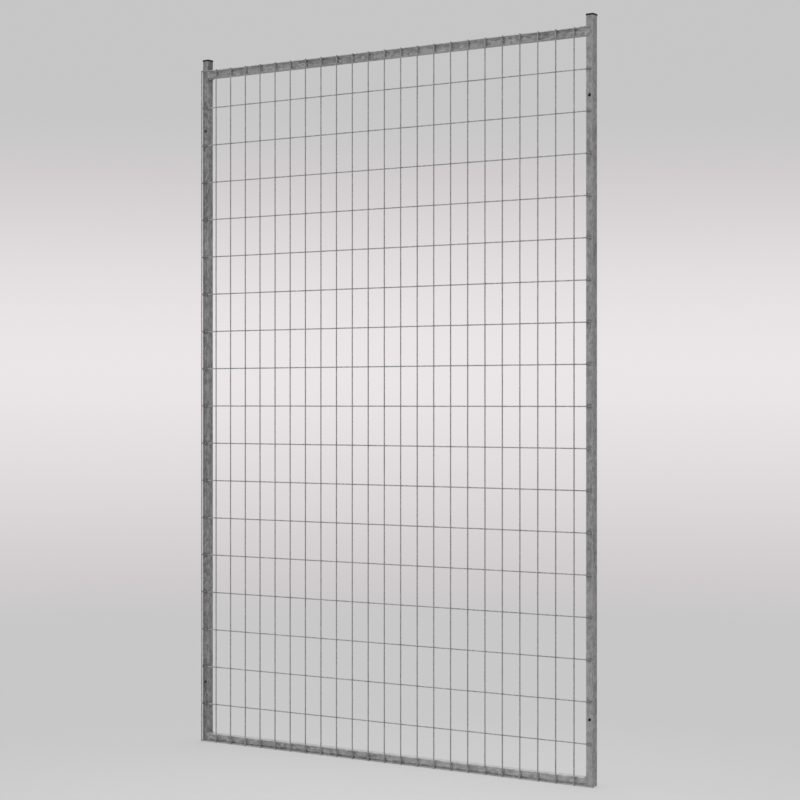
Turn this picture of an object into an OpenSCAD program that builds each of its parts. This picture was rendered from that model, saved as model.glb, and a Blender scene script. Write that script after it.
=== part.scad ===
/* [Frame] */
// Width of the panel over its posts
panel_w = 1200; // [600:10:2000]
// Height from the feet of the posts to the top of the top rail
panel_h = 1800; // [1000:10:2400]
// Length of each post that stands above the top rail
post_rise = 27; // [10:1:80]

/* [Tube] */
// Outside width of the square tube
tube_w = 20; // [18:0.5:40]
// Wall of the tube
tube_wall = 1.5; // [1:0.1:3]
// Outside radius of the tube's corners
tube_r = 2; // [1:0.1:4]
// Leg of the fillet welds between rails and posts
weld_leg = 4; // [2:0.5:6]

/* [Mesh] */
// Diameter of the mesh wire
wire_d = 3; // [2:0.1:5]
// Spacing of the upright wires, evened out over the panel's width
upright_pitch = 50; // [30:1:100]
// Spacing of the cross wires, evened out over the panel's height
cross_pitch = 100; // [50:1:200]
// Depth that an upright wire is pressed into a cross wire at each weld
weld_set = 0.5; // [0.1:0.1:0.9]
// Length of wire that stands past the side of the outermost wire it meets
wire_stub = 0.6; // [0:0.1:10]

/* [Fixing holes] */
// Diameter of the holes drilled through the posts
hole_d = 8; // [5:0.5:12]
// Height of the lower holes above the feet of the posts
hole_low = 158; // [60:1:400]
// Drop of the upper holes below the top of the top rail
hole_drop = 162; // [60:1:400]

/* [Caps] */
// Height of a cap's head
cap_h = 5; // [3:0.5:10]
// Overhang of a cap's head past the tube on each side
cap_lip = 1; // [0:0.1:2]
// Chamfer round the top of a cap's head
cap_chamfer = 1.5; // [0.5:0.1:2]
// Length of a cap's plug inside the post
plug_len = 16; // [10:1:30]
// Wall of the hollow plug
plug_wall = 1.6; // [1:0.1:3]
// Gripping ribs round a plug
rib_count = 3; // [1:1:4]
// Thickness of a rib
rib_t = 1.2; // [0.8:0.1:2]
// Height of the ribs above the plug's sides
rib_out = 0.8; // [0.4:0.1:1.2]
// Clearance between the ribs and the tube
rib_gap = 0.1; // [0.05:0.05:0.3]

/* [Hidden] */

// Facets of a full circle, and sides of the bar that stands for a round wire
round_fn = 48;
wire_sides = 8;

frame_zinc = [0.55, 0.56, 0.57];
mesh_zinc = [0.62, 0.63, 0.64];
cap_black = [0.08, 0.08, 0.085];

// The left post's back face is Y = 0 and its centreline is X = 0
first_x = -tube_w / 2;
right_post_x = panel_w - tube_w;
post_len = panel_h + post_rise;
rail_len = panel_w - 2 * tube_w;
top_rail_z = panel_h - tube_w;

// Inside of the tube, whose corners stay a little round
least_bore_r = 0.3;
bore_w = tube_w - 2 * tube_wall;
bore_r = max(tube_r - tube_wall, least_bore_r);

// Cross wires lie on the frame, upright wires lie on the cross wires
upright_gaps = round(panel_w / upright_pitch);
cross_gaps = round(panel_h / cross_pitch);
upright_step = panel_w / upright_gaps;
cross_step = panel_h / cross_gaps;
cross_y = -tube_w - wire_d / 2;
upright_y = cross_y - wire_d + weld_set;
wire_end = wire_d / 2 + wire_stub;

// The sheet is parted halfway between cross wires, a third of the way in from each end
third = round(cross_gaps / 3);
low_cut = (third + 0.5) * cross_step;
high_cut = (cross_gaps - third - 0.5) * cross_step;

plug_w = bore_w - 2 * (rib_gap + rib_out);
cap_w = tube_w + 2 * cap_lip;

// How far behind its corner the crown of a weld is centred, as a share of its leg
crown_back = 0.5;
// Extra length of a tool past what it cuts
past = 1;

// Square with round corners about the origin
module soft_square(w, r) {
    square([w - 2 * r, w], center = true);
    square([w, w - 2 * r], center = true);
    for (x = [-1, 1], y = [-1, 1])
        translate([x, y] * (w / 2 - r)) circle(r, $fn = round_fn);
}

// Length of the square tube, standing on its end
module tube(len) {
    linear_extrude(len) difference() {
        soft_square(tube_w, tube_r);
        soft_square(bore_w, bore_r);
    }
}

// Upright, drilled through both walls for its fixing bolts
module post(x) {
    color(frame_zinc) translate([x, -tube_w / 2, 0]) difference() {
        tube(post_len);
        for (z = [hole_low, panel_h - hole_drop])
            translate([0, 0, z]) rotate([90, 0, 0])
                cylinder(d = hole_d, h = tube_w + 2 * past, center = true, $fn = round_fn);
    }
}

// Rail cut square and butted between the posts
module rail(z) {
    color(frame_zinc) translate([tube_w / 2, -tube_w / 2, z + tube_w / 2])
        rotate([0, 90, 0]) tube(rail_len);
}

// Crowned fillet in the corner at the origin, across the flat of a tube
module fillet_weld() {
    back = crown_back * weld_leg;
    rotate([90, 0, 0]) linear_extrude(tube_w - 2 * tube_r, center = true) intersection() {
        square(weld_leg);
        translate([-back, -back]) circle(norm([weld_leg + back, back]), $fn = 2 * round_fn);
    }
}

// Welds above and below the top rail and above the bottom rail, at both posts
module corner_welds() {
    middle = panel_w / 2 + first_x;
    color(frame_zinc) translate([middle, -tube_w / 2, 0])
        for (side = [0, 1]) mirror([side, 0, 0]) translate([-rail_len / 2, 0, 0]) {
            translate([0, 0, panel_h]) fillet_weld();
            translate([0, 0, top_rail_z]) mirror([0, 0, 1]) fillet_weld();
            translate([0, 0, tube_w]) fillet_weld();
        }
}

// Square block with round corners and a chamfer round its top
module cap_head() {
    side = cap_w / 2;
    flat = side - cap_chamfer;
    shoulder = cap_h - cap_chamfer;
    outline = [[-side, 0], [side, 0], [side, shoulder], [flat, cap_h], [-flat, cap_h], [-side, shoulder]];
    intersection() {
        linear_extrude(cap_h) soft_square(cap_w, tube_r + cap_lip);
        for (turn = [0, 90])
            rotate([90, 0, turn]) linear_extrude(cap_w + 2 * past, center = true) polygon(outline);
    }
}

// Hollow square plug, open below, with ribs that grip the tube
module cap_plug() {
    rib_step = plug_len / (rib_count + 1);
    translate([0, 0, -plug_len]) difference() {
        union() {
            linear_extrude(plug_len) soft_square(plug_w, bore_r);
            for (i = [1 : rib_count])
                translate([0, 0, i * rib_step - rib_t / 2])
                    linear_extrude(rib_t) soft_square(plug_w + 2 * rib_out, bore_r);
        }
        translate([0, 0, -past])
            linear_extrude(plug_len + past) soft_square(plug_w - 2 * plug_wall, bore_r);
    }
}

// Cap pushed into the top of the post
module cap(x) {
    color(cap_black) translate([x, -tube_w / 2, post_len]) {
        cap_head();
        cap_plug();
    }
}

// Straight wire that stands on its end, with flats to the front and back
module wire(len) {
    turn = 180 / wire_sides;
    rotate(turn) cylinder(d = wire_d / cos(turn), h = len, $fn = wire_sides);
}

// Part of the welded sheet between two heights, its wires fused where they cross
module mesh(bottom, top) {
    color(mesh_zinc) {
        for (i = [0 : upright_gaps])
            translate([first_x + i * upright_step, upright_y, bottom]) wire(top - bottom);
        for (j = [0 : cross_gaps])
            let (z = j * cross_step)
                if (z > bottom && z < top)
                    translate([first_x - wire_end, cross_y, z])
                        rotate([0, 90, 0]) wire(panel_w + 2 * wire_end);
    }
}

post(0);  // left_post
post(right_post_x);  // right_post
rail(top_rail_z);  // top_rail
rail(0);  // bottom_rail
corner_welds();
cap(0);  // left_cap
cap(right_post_x);  // right_cap
mesh(-wire_end, low_cut);  // mesh_lower
mesh(low_cut, high_cut);  // mesh_middle
mesh(high_cut, panel_h + wire_end);  // mesh_upper
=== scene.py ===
import math
import random

import bmesh
import bpy
from mathutils import Matrix, Vector


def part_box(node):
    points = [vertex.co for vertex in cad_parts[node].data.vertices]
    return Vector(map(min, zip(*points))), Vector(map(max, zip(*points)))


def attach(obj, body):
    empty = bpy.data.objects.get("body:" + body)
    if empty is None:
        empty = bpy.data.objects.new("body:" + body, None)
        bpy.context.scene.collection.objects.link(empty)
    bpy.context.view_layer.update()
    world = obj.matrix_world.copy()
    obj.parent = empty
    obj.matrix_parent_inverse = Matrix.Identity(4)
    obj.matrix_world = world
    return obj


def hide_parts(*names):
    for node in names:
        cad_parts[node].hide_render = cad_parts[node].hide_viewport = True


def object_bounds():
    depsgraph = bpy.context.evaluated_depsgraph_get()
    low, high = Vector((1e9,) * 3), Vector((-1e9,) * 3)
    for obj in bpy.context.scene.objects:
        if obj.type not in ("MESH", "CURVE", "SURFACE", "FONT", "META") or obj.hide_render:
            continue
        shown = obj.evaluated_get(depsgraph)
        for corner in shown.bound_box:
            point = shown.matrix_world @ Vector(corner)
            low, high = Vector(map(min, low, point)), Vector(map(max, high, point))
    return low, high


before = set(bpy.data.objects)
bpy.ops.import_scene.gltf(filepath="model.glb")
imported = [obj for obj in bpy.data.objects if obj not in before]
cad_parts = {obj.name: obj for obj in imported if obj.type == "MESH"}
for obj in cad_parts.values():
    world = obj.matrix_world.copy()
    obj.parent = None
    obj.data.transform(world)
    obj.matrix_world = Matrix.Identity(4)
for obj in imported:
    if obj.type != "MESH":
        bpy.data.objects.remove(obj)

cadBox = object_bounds()
mm = 0.001
dice = random.Random(7)
print("frame loaded")


class Sock:
    # a shader socket that can stand in a sum
    def __init__(self, finish, out):
        self.finish, self.out = finish, out

    def reckon(self, operation, other=0.0, swap=False):
        pair = (other, self) if swap else (self, other)
        return self.finish.node("Math", {"operation": operation}, {0: pair[0], 1: pair[1]})

    def __add__(self, other):
        return self.reckon("ADD", other)

    def __radd__(self, other):
        return self.reckon("ADD", other)

    def __sub__(self, other):
        return self.reckon("SUBTRACT", other)

    def __rsub__(self, other):
        return self.reckon("SUBTRACT", other, swap=True)

    def __mul__(self, other):
        return self.reckon("MULTIPLY", other)

    def __rmul__(self, other):
        return self.reckon("MULTIPLY", other)

    def __truediv__(self, other):
        return self.reckon("DIVIDE", other)

    def __rtruediv__(self, other):
        return self.reckon("DIVIDE", other, swap=True)

    def abs(self):
        return self.reckon("ABSOLUTE")

    def swing(self, by):  # a pattern from 0 to 1, made to swing about 0
        return (self - 0.5) * by

    def ramp(self, low, high):  # 0 at low, 1 at high, eased
        return self.finish.node("MapRange", {"interpolation_type": "SMOOTHSTEP"},
                                {0: self, 1: low, 2: high, 3: 0.0, 4: 1.0})

    def twin(self, index):  # another output of the same node
        return Sock(self.finish, self.out.node.outputs[index])


class Finish:
    # a material, or the world, built node by node
    def __init__(self, name, owner=None):
        self.owner = owner or bpy.data.materials.new(name)
        self.owner.use_nodes = True
        self.tree = self.owner.node_tree
        self.tree.nodes.clear()

    def node(self, kind, settings=None, inputs=None, out=0):
        made = self.tree.nodes.new("ShaderNode" + kind)
        for key, value in (settings or {}).items():
            setattr(made, key, value)
        for key, value in (inputs or {}).items():
            if isinstance(value, Sock):
                self.tree.links.new(value.out, made.inputs[key])
            else:
                made.inputs[key].default_value = value
        return Sock(self, made.outputs[out]) if len(made.outputs) else None

    def mix(self, share, first, second):  # two colours
        return self.node("Mix", {"data_type": "RGBA"}, {0: share, 6: (*first, 1), 7: (*second, 1)}, out=2)

    def vector(self, operation, first, second=(0, 0, 0), out=0):
        return self.node("VectorMath", {"operation": operation}, {0: first, 1: second}, out=out)

    def length(self, vector):
        return self.vector("LENGTH", vector, out=1)

    def axes(self, vector):
        return [self.node("SeparateXYZ", None, {0: vector}, out=i) for i in range(3)]

    def place(self):  # where on the object, in metres
        return self.node("TexCoord", out=3)

    def noise(self, vector, scale, detail=2.0, rough=0.5, out=0):
        return self.node("TexNoise", None, {"Vector": vector, "Scale": scale, "Detail": detail,
                                            "Roughness": rough}, out=out)

    def bump(self, height, depth, strength):
        return self.node("Bump", None, {"Height": height, "Distance": depth, "Strength": strength})

    def end(self, surface):
        self.node("OutputMaterial", None, {"Surface": surface})
        return self.owner


def stamp(bm, shape, places):
    # adds a small bmesh once at each place, and frees it
    mould = bpy.data.meshes.new("mould")
    shape.to_mesh(mould)
    shape.free()
    for matrix in places:
        part = mould.copy()
        part.transform(matrix)
        bm.from_mesh(part)
        bpy.data.meshes.remove(part)
    bpy.data.meshes.remove(mould)


def rod(bm, sides, stations, place):
    # a rod along Z, closed at both ends; a station is its height, two half widths and shift across
    shape = bmesh.new()
    ring = bmesh.ops.create_circle(shape, cap_ends=True, segments=sides, radius=1)["verts"]
    edges = list({e for v in ring for e in v.link_edges})
    last = (0, 1, 1, 0)
    for count, station in enumerate(stations):
        if count:
            grown = bmesh.ops.extrude_edge_only(shape, edges=edges)["geom"]
            ring = [g for g in grown if isinstance(g, bmesh.types.BMVert)]
            edges = [g for g in grown if isinstance(g, bmesh.types.BMEdge)]
        z, wideX, wideY, shift = station
        centred = Matrix.Translation((-last[3], 0, -last[0]))
        bmesh.ops.scale(shape, verts=ring, vec=(wideX / last[1], wideY / last[2], 1), space=centred)
        bmesh.ops.translate(shape, verts=ring, vec=(shift - last[3], 0, z - last[0]))
        last = station
    bmesh.ops.contextual_create(shape, geom=edges)
    stamp(bm, shape, [place])


sharpFrom = math.radians(40)      # a steeper fold than this keeps a crisp edge


def finishPiece(bm, name, material, standsFor=()):
    bmesh.ops.recalc_face_normals(bm, faces=bm.faces[:])
    for face in bm.faces:
        face.smooth = True
    for edge in bm.edges:
        sharp = len(edge.link_faces) == 2 and edge.calc_face_angle(0) > sharpFrom
        edge.smooth = not sharp
    mesh = bpy.data.meshes.new(name)
    bm.to_mesh(mesh)
    bm.free()
    mesh.materials.append(material)
    piece = bpy.data.objects.new(name, mesh)
    bpy.context.scene.collection.objects.link(piece)
    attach(piece, "root")
    if standsFor:
        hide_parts(*standsFor)
    print(name, len(mesh.polygons), "faces")


# sizes of the panel, read off the frame
leftLow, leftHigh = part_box("left_post")
rightLow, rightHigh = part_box("right_post")
topLow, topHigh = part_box("top_rail")
footLow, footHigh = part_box("bottom_rail")
meshNodes = ("mesh_lower", "mesh_middle", "mesh_upper")
meshBottom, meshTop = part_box(meshNodes[0])[0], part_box(meshNodes[-1])[1]
panel = {
    "left": leftLow.x, "right": rightHigh.x,
    "bottom": footLow.z, "top": topHigh.z,
    "front": leftLow.y, "back": leftHigh.y,
    "tube": leftHigh.x - leftLow.x,
}
panel["middleX"] = (panel["left"] + panel["right"]) / 2
panel["middleY"] = (panel["front"] + panel["back"]) / 2
panel["middleZ"] = (panel["bottom"] + panel["top"]) / 2
gapsAcross, gapsUp = 24, 18                              # of the mesh
across = (panel["right"] - panel["left"]) / gapsAcross
upward = (panel["top"] - panel["bottom"]) / gapsUp


zinc = {
    "dark": (0.0500, 0.0504, 0.0515), "pale": (0.442, 0.443, 0.448),
    "least": -0.7, "most": 1.7,      # the shades that get those two colours
    "middle": 0.5,                   # the shade before any pattern
    "metal": 0.40, "rough": 0.45,
    # sizes: a crystal patch, a dull or bright area, a speck, the feathers in a crystal and their fray
    "grain": 5 * mm, "cloud": 55 * mm, "speck": 1.6 * mm, "feather": 0.22 * mm, "fray": 2.5 * mm,
    "waves": 0.6,                    # in the edge of a crystal, for each grain of length
    "fraySwing": 5,
    # how much of each shows in the shade, the roughness and the height
    "inShade": {"crystal": 0.60, "cloud": 0.55, "speck": 0.35, "feather": 0.07},
    "inRough": {"crystal": 0.12, "cloud": -0.2},
    "inHeight": {"crystal": 0.25, "cloud": 0.8, "speck": 0.35, "feather": 0.04},
    "lumpDepth": 0.35 * mm,
}


def zincSkin(name, tone, run, grain=1.0, lumps=0.25, extra=None):
    # run squeezes the pattern along the way the zinc drained
    f = Finish(name)
    size = zinc["grain"] * grain
    middle = (0.5, 0.5, 0.5)
    place = f.place()
    drawn = f.vector("MULTIPLY", place, run)
    wander = f.vector("SUBTRACT", f.noise(drawn, zinc["waves"] / size, out=1), middle)
    bent = f.vector("ADD", drawn, f.vector("MULTIPLY", wander, (size, size, size)))
    crystal = f.node("TexVoronoi", {"feature": "F1"},
                     {"Vector": bent, "Scale": 1 / size, "Randomness": 1.0}, out=1)
    tint, gloss, lean = f.axes(crystal)
    # fine feathers that run their own way in each crystal
    aim = f.vector("NORMALIZE", f.vector("SUBTRACT", crystal, middle))
    stroke = f.vector("DOT_PRODUCT", f.vector("SUBTRACT", bent, crystal.twin(2)), aim, out=1)
    frayed = f.noise(place, 1 / zinc["fray"]) * zinc["fraySwing"]
    feather = (stroke / zinc["feather"] + frayed).reckon("SINE")
    cloud = f.noise(drawn, 1 / zinc["cloud"], detail=3.0, rough=0.6)
    speck = f.noise(place, 1 / zinc["speck"], rough=0.55)
    inShade, inRough, inHeight = zinc["inShade"], zinc["inRough"], zinc["inHeight"]
    shade = tint.swing(inShade["crystal"]) + cloud.swing(inShade["cloud"]) + speck.swing(inShade["speck"])
    shade += feather * inShade["feather"]
    shade += zinc["middle"]
    rough = gloss.swing(inRough["crystal"]) + cloud.swing(inRough["cloud"]) + zinc["rough"]
    if extra:
        shade, rough = extra(f.axes(place), shade, rough)
    dark, pale = [tuple(c * tone for c in zinc[end]) for end in ("dark", "pale")]
    colour = f.mix(shade.ramp(zinc["least"], zinc["most"]), dark, pale)
    height = speck * inHeight["speck"] + lean * inHeight["crystal"]
    height += cloud * inHeight["cloud"]
    height += feather * inHeight["feather"]
    bump = f.bump(height, zinc["lumpDepth"], lumps)
    return f.end(f.node("BsdfPrincipled", None, {"Base Color": colour, "Roughness": rough,
                                                 "Metallic": zinc["metal"], "Normal": bump}))


tubeEdge = {
    "frontFrom": 0.3 * mm, "frontTo": 1.2 * mm,      # how deep the front's own shade reaches
    "cornerBandFrom": 3.0 * mm, "cornerBandTo": 1.3 * mm,          # how near the corner it starts and is full
    # painted highlight on the rounded corners, and the smoothing of their roughness
    "paintedHighlight": 0.25, "cornerSmooth": 0.06,
}


def onFront(y):  # 1 on the front of a tube, 0 on its sides and back
    return 1 - y.ramp(panel["front"] + tubeEdge["frontFrom"], panel["front"] + tubeEdge["frontTo"])


def cornerHighlight(shade, rough, acrossOne, acrossTwo):
    # painted highlight: the rounded corners of a tube are a little brighter, and they are also smoother
    cornerBand = (acrossOne + acrossTwo).ramp(panel["tube"] - tubeEdge["cornerBandFrom"], panel["tube"] - tubeEdge["cornerBandTo"])
    return shade + cornerBand * tubeEdge["paintedHighlight"], rough - cornerBand * tubeEdge["cornerSmooth"]


def near(at, first, step, half):
    # 1 at first, first + step and so on, falling to 0 over half to each side
    core = half * 0.3      # it stays 1 as far as this
    turn = (at - first) / step
    off = (turn - turn.reckon("ROUND")).abs() * step
    return 1 - off.ramp(core, half)


postWear = {
    "paintedShade": 0.29, "paintedShadeHalf": 9 * mm,               # painted shade beside the weld of an inner cross wire
    "paintedShadeStart": 0.3, "paintedShadeFull": 0.6,              # so that the outer two are left out
    "footFrom": -0.15, "footTo": 0.60,              # heights over which the painted light on the foot fades
    "footAllRound": 0.35, "footOnFront": 0.65,
    "paintedCornerShade": 0.40,                             # painted shade on the side in the frame, beside the rails
    "cornerFrom": 6 * mm, "cornerTo": 18 * mm,
    "insideFrom": 0.5 * mm, "insideTo": 3 * mm,     # how deep that side reaches
}


def postExtra(spec):
    # painted shade round each inner cross wire and beside the rails, painted light and shade on the front,
    # painted light on the foot, and a painted highlight on the corners
    wear = postWear

    def withPaintedLight(axes, shade, rough):
        x, y, z = axes
        front = onFront(y)
        inner = z.ramp(panel["bottom"], panel["bottom"] + upward / 2)
        inner *= 1 - z.ramp(panel["top"] - upward / 2, panel["top"])
        # painted shade round each inner cross wire
        paintedShade = near(z, panel["bottom"], upward, wear["paintedShadeHalf"])
        paintedShade *= inner.ramp(wear["paintedShadeStart"], wear["paintedShadeFull"])
        # painted light and shade on the front of a post
        shade += front * (spec["front"] - paintedShade * wear["paintedShade"])
        # painted light on the foot, as from the bright floor
        foot = 1 - z.ramp(panel["bottom"] + wear["footFrom"], panel["bottom"] + wear["footTo"])
        shade += foot * (front * wear["footOnFront"] + wear["footAllRound"]) * spec["foot"]
        fromMiddle = (x - panel["middleX"]).abs()
        opening = rightLow.x - panel["middleX"]
        inside = 1 - fromMiddle.ramp(opening + wear["insideFrom"], opening + wear["insideTo"])
        fromRail = topLow.z - panel["middleZ"] - (z - panel["middleZ"]).abs()
        # painted shade on the side in the frame, beside the rails
        shade -= inside * (1 - fromRail.ramp(wear["cornerFrom"], wear["cornerTo"])) * wear["paintedCornerShade"]
        # painted highlight on the rounded corners
        acrossX = (fromMiddle - opening - panel["tube"] / 2).abs()
        return cornerHighlight(shade, rough, acrossX, (y - panel["middleY"]).abs())
    return withPaintedLight


railWear = {
    "bandIn": 2 * mm, "bandOut": 3 * mm,            # how softly the band of painted shade starts and ends
    "dustAndLightDepth": 0.6 * mm,                          # painted light on top of the bottom rail, fading over this depth down from its top
    "leftEnds": -0.28, "rightStarts": 0.12,         # either side of the middle, for the shade of the ends
    "evenShare": 0.55,                              # of the way, where neither end's shade shows
}


def railExtra(spec):
    # painted shade in a band just inside the outer wire, painted light on top of the bottom rail, and a
    # painted highlight on the corners
    wear = railWear

    def withPaintedLight(axes, shade, rough):
        x, y, z = axes
        inward = panel["top"] - panel["middleZ"] - (z - panel["middleZ"]).abs()
        # painted shade in a band just inside the outer wire
        paintedShade = inward.ramp(spec["from"], spec["from"] + wear["bandIn"])
        paintedShade *= 1 - inward.ramp(spec["to"] - wear["bandOut"], spec["to"])
        shade -= paintedShade * onFront(y) * spec["paintedShade"]
        # painted light on top of the bottom rail
        shade += z.ramp(footHigh.z - wear["dustAndLightDepth"], footHigh.z) * spec["dustAndLight"]
        rightward = x.ramp(panel["middleX"] + wear["leftEnds"], panel["middleX"] + wear["rightStarts"])
        shade += (rightward - wear["evenShare"]) * spec["rightward"]
        # painted highlight on the rounded corners
        railMiddle = panel["top"] - panel["tube"] / 2 - panel["middleZ"]
        acrossZ = ((z - panel["middleZ"]).abs() - railMiddle).abs()
        return cornerHighlight(shade, rough, acrossZ, (y - panel["middleY"]).abs())
    return withPaintedLight


wireWear = {
    "paintedShade": 0.58, "lessOnRight": 0.16,              # painted shade where a cross wire is welded to a post
    "paintedShadeReach": 0.8,                               # in widths of the post
    "outerFoot": 0.2, "outerRise": 0.8,             # painted light on the outer two, low down and growing
    "outerPaintedLight": 0.45,
    "outerPaintedShade": 1.4,                               # how much painted shade near the corners takes off that painted light
    "cornerFrom": 32 * mm, "cornerTo": 40 * mm,
    "outerEdge": 0.02,                              # how sharply they differ from the inner ones
}


def wireExtra(axes, shade, rough):
    # painted shade darkens a cross wire where it is welded to a post; painted light makes the outer two paler
    wear = wireWear
    x, _, z = axes
    wide, high = panel["right"] - panel["left"], panel["top"] - panel["bottom"]
    reach = panel["tube"] * wear["paintedShadeReach"]
    onPost = near(x, panel["left"] + panel["tube"] / 2, wide - panel["tube"], reach)
    inner = near(z, panel["middleZ"], high, high / 2).ramp(0.0, wear["outerEdge"])
    # painted shade on a cross wire where it is welded to a post
    paintedShade = wear["paintedShade"] - x.ramp(panel["left"], panel["right"]) * wear["lessOnRight"]
    # painted light on the outer two, taken off near the ends by painted shade
    paintedOuterLight = (z.ramp(panel["bottom"], panel["top"]) * wear["outerRise"] + wear["outerFoot"]) * wear["outerPaintedLight"]
    fromEnd = wide / 2 - (x - panel["middleX"]).abs()
    paintedOuterLight *= 1 - (1 - fromEnd.ramp(wear["cornerFrom"], wear["cornerTo"])) * wear["outerPaintedShade"]
    return shade - onPost * inner * paintedShade + (1 - inner) * paintedOuterLight, rough


along, upright, even = (0.5, 1, 1), (1, 1, 0.5), (1, 1, 1)      # ways for the pattern to run
tubes = {
    # how much paler the front is than the sides and the foot than the top, which is painted light and shade;
    # and how much paler the right end is than the left
    "left_post": {"skin": "leftPostZinc", "tone": 0.88, "run": upright, "front": -0.18, "foot": 0.02},
    "right_post": {"skin": "rightPostZinc", "tone": 0.88, "run": upright, "front": 0.10, "foot": 0.50},
    "top_rail": {"skin": "topRailZinc", "tone": 0.88, "run": along, "rightward": 0.02,
                 "paintedShade": 0.22, "from": 2 * mm, "to": 9.5 * mm, "dustAndLight": 0.0},
    # the bottom rail's higher tone is painted light, as from the bright floor below it
    "bottom_rail": {"skin": "footRailZinc", "tone": 1.20, "run": along, "rightward": 0.25,
                    "paintedShade": 0.44, "from": 0.0, "to": 6.8 * mm, "dustAndLight": 0.6},
}
for node, spec in tubes.items():
    extra = postExtra(spec) if "foot" in spec else railExtra(spec)
    skin = zincSkin(spec["skin"], spec["tone"], spec["run"], extra=extra)
    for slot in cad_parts[node].material_slots:
        slot.material = skin

weldZinc = zincSkin("weldZinc", tone=1.05, run=even, grain=0.5, lumps=0.5)
tackZinc = zincSkin("tackZinc", tone=0.80, run=even, grain=0.5, lumps=0.4)
uprightZinc = zincSkin("uprightZinc", tone=1.10, run=even, grain=0.6, lumps=0.15)
crossZinc = zincSkin("crossZinc", tone=1.20, run=even, grain=0.6, lumps=0.15, extra=wireExtra)
print("zinc on the frame")


sheet = {
    "wire": 3 * mm,
    "sides": 12,
    "drift": 0.25 * mm,                   # how far a wire strays from its even place
    "bow": 0.2 * mm,                      # how far it bows between two welds
    "pinch": 0.93, "spread": 1.02,        # flattened under the welding electrodes
    "pinchHalf": 1.6 * mm,
    "nip": 0.35 * mm, "nipShare": 0.8,    # the cut end is a little thinner
    "nugget": 1.95 * mm, "nuggetThick": 0.85 * mm,
    "swell": (0.9, 1.1),
}
sheet["uprightY"] = meshBottom.y + sheet["wire"] / 2
sheet["crossY"] = panel["front"] - sheet["wire"] / 2


def strays(count):
    inner = [dice.uniform(-1, 1) * sheet["drift"] for _ in range(count - 1)]
    return [0.0, *inner, 0.0]


uprightXs = [panel["left"] + i * across + s for i, s in enumerate(strays(gapsAcross))]
crossZs = [panel["bottom"] + j * upward + s for j, s in enumerate(strays(gapsUp))]


def wireStations(low, high, welds):
    # rings for a wire along Z from low to high that is welded at the given heights
    r = sheet["wire"] / 2
    cut = r * sheet["nipShare"]
    half = sheet["pinchHalf"]
    lowest, highest = low + sheet["nip"], high - sheet["nip"]
    rows = [(low, cut, cut, 0), (lowest, r, r, 0)]
    for count, z in enumerate(welds):
        if z - 2 * half > lowest:
            rows.append((z - 2 * half, r, r, 0))
        if z - half / 2 > lowest and z + half / 2 < highest:
            rows.append((z - half / 2, r * sheet["spread"], r * sheet["pinch"], 0))
            rows.append((z + half / 2, r * sheet["spread"], r * sheet["pinch"], 0))
        if z + 2 * half < highest:
            rows.append((z + 2 * half, r, r, 0))
        if count < len(welds) - 1:
            bow = dice.uniform(-1, 1) * sheet["bow"]
            rows.append(((z + welds[count + 1]) / 2, r, r, bow))
    return rows + [(highest, r, r, 0), (high, cut, cut, 0)]


def uprightWires():
    bm = bmesh.new()
    for x in uprightXs:
        place = Matrix.Translation((x, sheet["uprightY"], 0))
        rod(bm, sheet["sides"], wireStations(meshBottom.z, meshTop.z, crossZs), place)
    finishPiece(bm, "uprightWires", uprightZinc, meshNodes)


def crossWires():
    bm = bmesh.new()
    turn = Matrix.Rotation(math.radians(90), 4, "Y")
    for z in crossZs:
        place = Matrix.Translation((0, sheet["crossY"], z)) @ turn
        rod(bm, sheet["sides"], wireStations(meshBottom.x, meshTop.x, uprightXs), place)
    finishPiece(bm, "crossWires", crossZinc, meshNodes)


def wireWelds():
    # the flash squeezed out where two wires were pressed together
    bm = bmesh.new()
    nugget = bmesh.new()
    bmesh.ops.create_uvsphere(nugget, u_segments=10, v_segments=6, radius=1)
    seat = (sheet["uprightY"] + sheet["crossY"]) / 2
    wide, thick = sheet["nugget"], sheet["nuggetThick"]
    places = []
    for x in uprightXs:
        for z in crossZs:
            swell = dice.uniform(*sheet["swell"])
            size = Matrix.Diagonal((wide * swell, thick * dice.uniform(*sheet["swell"]), wide / swell, 1))
            places.append(Matrix.Translation((x, seat, z)) @ size)
    stamp(bm, nugget, places)
    finishPiece(bm, "wireWelds", weldZinc, meshNodes)


uprightWires()
crossWires()
wireWelds()


tack = {
    "long": 4.6 * mm, "thick": 1.2 * mm, "high": 3.1 * mm,      # half sizes of a weld on a post
    "railHigh": 2.3 * mm, "inward": 1.3 * mm,
    "firstGap": 2, "everyGap": 4,                               # along a rail
    "stray": 1 * mm, "swell": (0.85, 1.1),
}


def frameTacks():
    # small welds that hold the sheet to the frame
    bm = bmesh.new()
    drop = bmesh.new()
    bmesh.ops.create_uvsphere(drop, u_segments=14, v_segments=8, radius=1)
    spots = []
    for z in crossZs[1:-1]:
        for post in (panel["left"] + panel["tube"] / 2, panel["right"] - panel["tube"] / 2):
            spots.append((post + dice.uniform(-1, 1) * tack["stray"], z, tack["high"]))
    for i in range(tack["firstGap"], gapsAcross, tack["everyGap"]):
        middle = (uprightXs[i] + uprightXs[i + 1]) / 2
        spots.append((middle, panel["bottom"] + tack["inward"], tack["railHigh"]))
        spots.append((middle, panel["top"] - tack["inward"], tack["railHigh"]))
    places = []
    for x, z, high in spots:
        swell = dice.uniform(*tack["swell"])
        size = Matrix.Diagonal((tack["long"] * swell, tack["thick"], high / swell ** 0.5, 1))
        places.append(Matrix.Translation((x, panel["front"], z)) @ size)
    stamp(bm, drop, places)
    finishPiece(bm, "frameTacks", tackZinc)


frameTacks()


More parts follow.
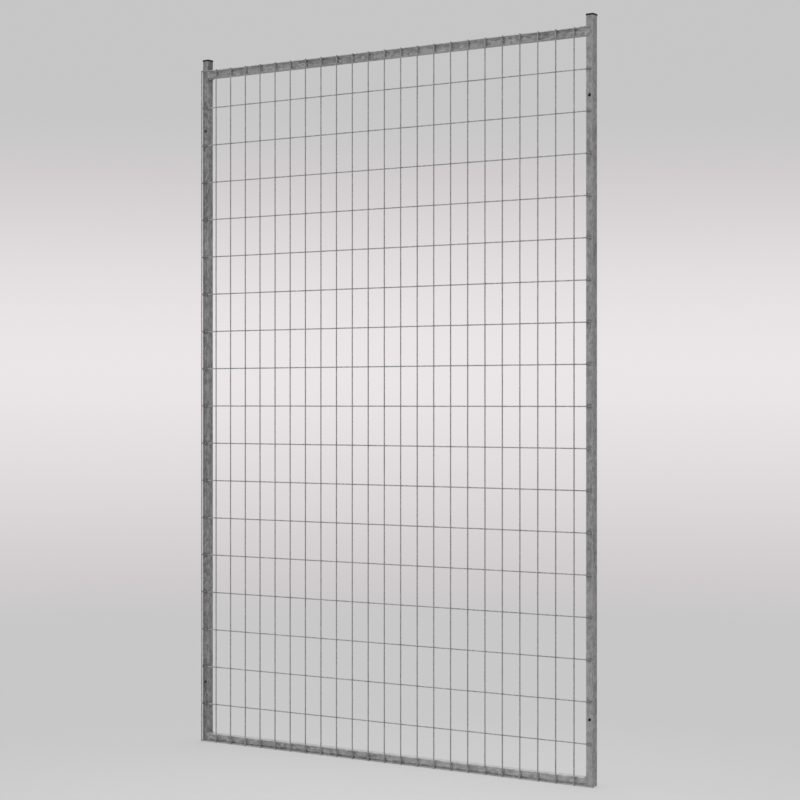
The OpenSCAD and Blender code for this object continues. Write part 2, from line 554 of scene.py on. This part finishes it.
bead = {
    "sides": 14,
    "wide": 3.3 * mm, "thick": 1.8 * mm,      # half sizes of a fillet bead
    "seat": 1.1 * mm,                         # how far out of the corner it is centred
    "seamWide": 3.0 * mm,                     # a seam ground nearly flat
    "seamThick": 0.45 * mm, "seamThickBack": 0.225 * mm,
    "shortBy": 4 * mm, "seamShortBy": 1 * mm,                   # than the tube is wide
    "ripple": 1.7 * mm, "fewest": 3, "uneven": (0.95, 1.03),
    "step": ((0.1, 0.91, 0.82), (0.6, 1, 1), (0.9, 0.97, 0.96)),      # place in a ripple, width, thickness
    "taper": ((0.4, 0.75), (0.8, 0.25)),      # place past the end, in thicknesses, and how full it is there
}


def beadStations(length, wide, thick):
    # half-round runs of weld with a ripple for each step of the torch
    count = max(bead["fewest"], round(length / bead["ripple"]))
    step = length / count
    after = [(length / 2 + thick * past, wide * full, thick * full, 0) for past, full in bead["taper"]]
    before = [(-z, *rest) for z, *rest in reversed(after)]
    rows = []
    for i in range(count):
        size = dice.uniform(*bead["uneven"])
        for at, wider, thicker in bead["step"]:
            rows.append((-length / 2 + i * step + at * step, wide * size * wider, thick * size * thicker, 0))
    return before + rows + after


def cornerWelds():
    bm = bmesh.new()
    lie = Matrix.Rotation(math.radians(90), 4, "X")
    flat = panel["tube"] - bead["shortBy"]
    for side, x in ((1, leftHigh.x), (-1, rightLow.x)):
        for z, up in ((panel["top"], 1), (topLow.z, -1), (footHigh.z, 1)):
            lean = Matrix.Rotation(math.radians(45) * side * up, 4, "Y")
            centre = (x + side * bead["seat"], panel["middleY"], z + up * bead["seat"])
            place = Matrix.Translation(centre) @ lean @ lie
            rod(bm, bead["sides"], beadStations(flat, bead["wide"], bead["thick"]), place)
    seam = panel["tube"] - bead["seamShortBy"]
    for x in (leftHigh.x, rightLow.x):
        for z in ((topLow.z + topHigh.z) / 2, (footLow.z + footHigh.z) / 2):
            for y, thick in ((panel["front"], bead["seamThick"]), (panel["back"], bead["seamThickBack"])):
                place = Matrix.Translation((x, y, z))
                rod(bm, bead["sides"], beadStations(seam, bead["seamWide"], thick), place)
    finishPiece(bm, "cornerWelds", weldZinc, ("corner_welds",))


cornerWelds()


cap = {
    # bevels of the corners, the top and the foot: how wide, and in how many steps
    "round": (2.5 * mm, 5), "edge": (3.4 * mm, 4), "foot": (0.3 * mm, 1),
    "plugInset": 2.4 * mm,
    "black": (0.009, 0.009, 0.010), "dustAndLight": (0.045, 0.044, 0.042),
    "dusty": 0.4, "dustFrom": 0.5, "dustTo": 0.75, "dustAndLightDepth": 3 * mm,
    "grain": 0.5 * mm, "wear": 6 * mm,                          # sizes of the moulded grain and of worn areas
    "rough": 0.42, "wornRough": 0.2, "shine": 0.25,
    "grainHigh": 0.5, "bumpDepth": 0.12 * mm, "bump": 0.3,
}


def capPlastic():
    f = Finish("capPlastic")
    place = f.place()
    z = f.axes(place)[2]
    grain = f.noise(place, 1 / cap["grain"], detail=3.0, rough=0.6)
    worn = f.noise(place, 1 / cap["wear"], detail=4.0, rough=0.6)
    dusty = worn.ramp(cap["dustFrom"], cap["dustTo"]) * z.ramp(cadBox[1][2] - cap["dustAndLightDepth"], cadBox[1][2])
    colour = f.mix(dusty * cap["dusty"], cap["black"], cap["dustAndLight"])
    rough = worn * cap["wornRough"] + cap["rough"]
    bump = f.bump(grain * cap["grainHigh"] + worn, cap["bumpDepth"], cap["bump"])
    return f.end(f.node("BsdfPrincipled", None, {"Base Color": colour, "Roughness": rough, "Normal": bump,
                                                 "Specular IOR Level": cap["shine"]}))


def roundOff(bm, edges, bevel):
    wide, steps = bevel
    bmesh.ops.bevel(bm, geom=edges, offset=wide, offset_type="OFFSET", segments=steps, profile=0.5,
                    affect="EDGES", material=-1)


def capPiece(name, node, material):
    # a low head on the post's end with a plug under it
    low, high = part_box(node)
    postTop = leftHigh.z
    head = Vector((high.x - low.x, high.y - low.y, high.z - postTop))
    rim = head.z * 0.49      # all that lies past this is the top or the foot of the head
    bm = bmesh.new()
    bmesh.ops.create_cube(bm, size=1)
    bmesh.ops.scale(bm, vec=head, verts=bm.verts[:])
    roundOff(bm, [e for e in bm.edges if abs(e.verts[0].co.z - e.verts[1].co.z) > rim], cap["round"])
    roundOff(bm, [e for e in bm.edges if all(v.co.z > rim for v in e.verts)], cap["edge"])
    roundOff(bm, [e for e in bm.edges if all(v.co.z < -rim for v in e.verts)], cap["foot"])
    under = min(bm.faces, key=lambda face: face.calc_center_median().z)
    bmesh.ops.inset_region(bm, faces=[under], thickness=cap["plugInset"], use_even_offset=True)
    plug = bmesh.ops.extrude_discrete_faces(bm, faces=[under])["faces"]
    bmesh.ops.translate(bm, verts=plug[0].verts[:], vec=(0, 0, low.z - postTop))
    centre = ((low.x + high.x) / 2, (low.y + high.y) / 2, (high.z + postTop) / 2)
    bmesh.ops.translate(bm, verts=bm.verts[:], vec=centre)
    finishPiece(bm, name, material, (node,))


plastic = capPlastic()
capPiece("leftCap", "left_cap", plastic)
capPiece("rightCap", "right_cap", plastic)


studio = {
    "near": 0.556, "far": 0.790,            # pale grey of the floor by the panel and far off
    "nearReach": 3.46, "fall": 1.686, "blend": 0.05,
    "pool": 0.085, "poolReach": 1.9,        # a little more light just before the panel
    "poolAt": (0.51, -0.74, 0.0),
    "glow": 0.6, "glowFrom": 2.0, "glowTo": 8.0,      # share of the floor that keeps its grey in shadow
    "floorRadius": 2000,
    "skyBase": 0.565, "skyBand": 0.235, "bandHeight": 0.017, "bandHalf": 0.135,
    "pink": (0.034, -0.020, -0.005),        # a very little of it, far off and in the band
    "floorPink": (2.6, 6.6), "skyPink": (0.02, 0.30),
    "bounce": 0.80,                         # the floor as the panel sees it
    "fill": 0.52,
    "lamps": {
        "leftLamp": {"power": 1.5, "soft": 120, "side": (-0.90, -0.43, 0.05)},
        "topLamp": {"power": 1.9, "soft": 50, "side": (0.0, 0.12, 1.0)},
    },
}


def shownShare(f):
    # 1 where the background is seen, straight on or mirrored, and 0 where it only lights the panel
    camera, gloss, through = [f.node("LightPath", out=name) for name in
                              ("Is Camera Ray", "Is Glossy Ray", "Is Transmission Ray")]
    return camera.reckon("MAXIMUM", gloss).reckon("MAXIMUM", through)


def greyed(f, shade, blush):
    # a grey, and where blush is 1 the pink in it
    parts = [shade * (1 + blush * more) for more in studio["pink"]]
    return f.node("CombineColor", None, dict(enumerate(parts)))


def studioFloor():
    f = Finish("paleFloor")
    place = f.place()
    reach = f.length(place)
    shade = studio["far"] - studio["fall"] / (reach + studio["nearReach"])
    shade = f.node("Math", {"operation": "SMOOTH_MAX"}, {0: shade, 1: studio["near"], 2: studio["blend"]})
    fromPool = f.length(f.vector("SUBTRACT", place, studio["poolAt"]))
    shade += (1 - fromPool.ramp(0.0, studio["poolReach"])) * studio["pool"]
    colour = greyed(f, shade, reach.ramp(*studio["floorPink"]))
    # what all the lights together give the floor, so that its own grey comes back from it
    lit = studio["fill"]
    for spec in studio["lamps"].values():
        lit += spec["power"] * Vector(spec["side"]).normalized().z / math.pi
    glow = f.node("Emission", None, {"Color": colour})
    matt = f.node("BsdfDiffuse", None, {"Color": f.vector("MULTIPLY", colour, (1 / lit,) * 3)})
    share = reach.ramp(studio["glowFrom"], studio["glowTo"]) * (1 - studio["glow"]) + studio["glow"]
    seen = f.node("MixShader", None, {0: share, 1: matt, 2: glow})
    bounce = f.node("BsdfDiffuse", None, {"Color": (studio["bounce"],) * 3 + (1,)})
    paleFloor = f.end(f.node("MixShader", None, {0: shownShare(f), 1: bounce, 2: seen}))
    bm = bmesh.new()
    bmesh.ops.create_circle(bm, cap_ends=True, segments=96, radius=studio["floorRadius"])
    mesh = bpy.data.meshes.new("floor")
    bm.to_mesh(mesh)
    bm.free()
    mesh.materials.append(paleFloor)
    floor = bpy.data.objects.new("floor", mesh)
    floor.location = (panel["middleX"], panel["middleY"], cadBox[0][2])
    bpy.context.scene.collection.objects.link(floor)


def studioSky():
    world = bpy.data.worlds.new("studio")
    bpy.context.scene.world = world
    f = Finish("studio", world)
    z = f.axes(f.node("TexCoord", out=0))[2]
    off = ((z - studio["bandHeight"]).abs() / studio["bandHalf"]).reckon("MINIMUM", 1.0)
    band = (off * math.pi).reckon("COSINE") * 0.5 + 0.5
    level = band * studio["skyBand"] + studio["skyBase"]
    shown = f.node("Background", None, {"Color": greyed(f, level, band.ramp(*studio["skyPink"]))})
    fill = f.node("Background", None, {"Color": (1, 1, 1, 1), "Strength": studio["fill"]})
    both = f.node("MixShader", None, {0: shownShare(f), 1: fill, 2: shown})
    f.node("OutputWorld", None, {"Surface": both})


def lamp(name, spec):
    data = bpy.data.lights.new(name, "SUN")
    data.energy = spec["power"]
    data.angle = math.radians(spec["soft"])
    made = bpy.data.objects.new(name, data)
    made.rotation_euler = Vector(spec["side"]).to_track_quat("Z", "Y").to_euler()
    bpy.context.scene.collection.objects.link(made)


view = {
    "turn": 34.542,          # degrees round from square on
    "away": 5.209,
    "aimX": 0.638, "eye": 0.910,
    "lens": 93.21, "sensor": 36,
    "rise": 0.00274,         # shift of the lens
    "farthest": 4000,
}


def camera():
    data = bpy.data.cameras.new("camera")
    data.lens = view["lens"]
    data.sensor_width = view["sensor"]
    data.shift_y = view["rise"]
    data.clip_end = view["farthest"]
    eye = bpy.data.objects.new("camera", data)
    turn = math.radians(view["turn"])
    eye.location = (view["aimX"] + view["away"] * math.sin(turn),
                    sheet["uprightY"] - view["away"] * math.cos(turn), view["eye"])
    eye.rotation_euler = (math.radians(90), 0, turn)
    bpy.context.scene.collection.objects.link(eye)
    bpy.context.scene.camera = eye


studioFloor()
studioSky()
for name, spec in studio["lamps"].items():
    lamp(name, spec)
camera()
bpy.context.scene.view_settings.view_transform = "Standard"
print("studio set")
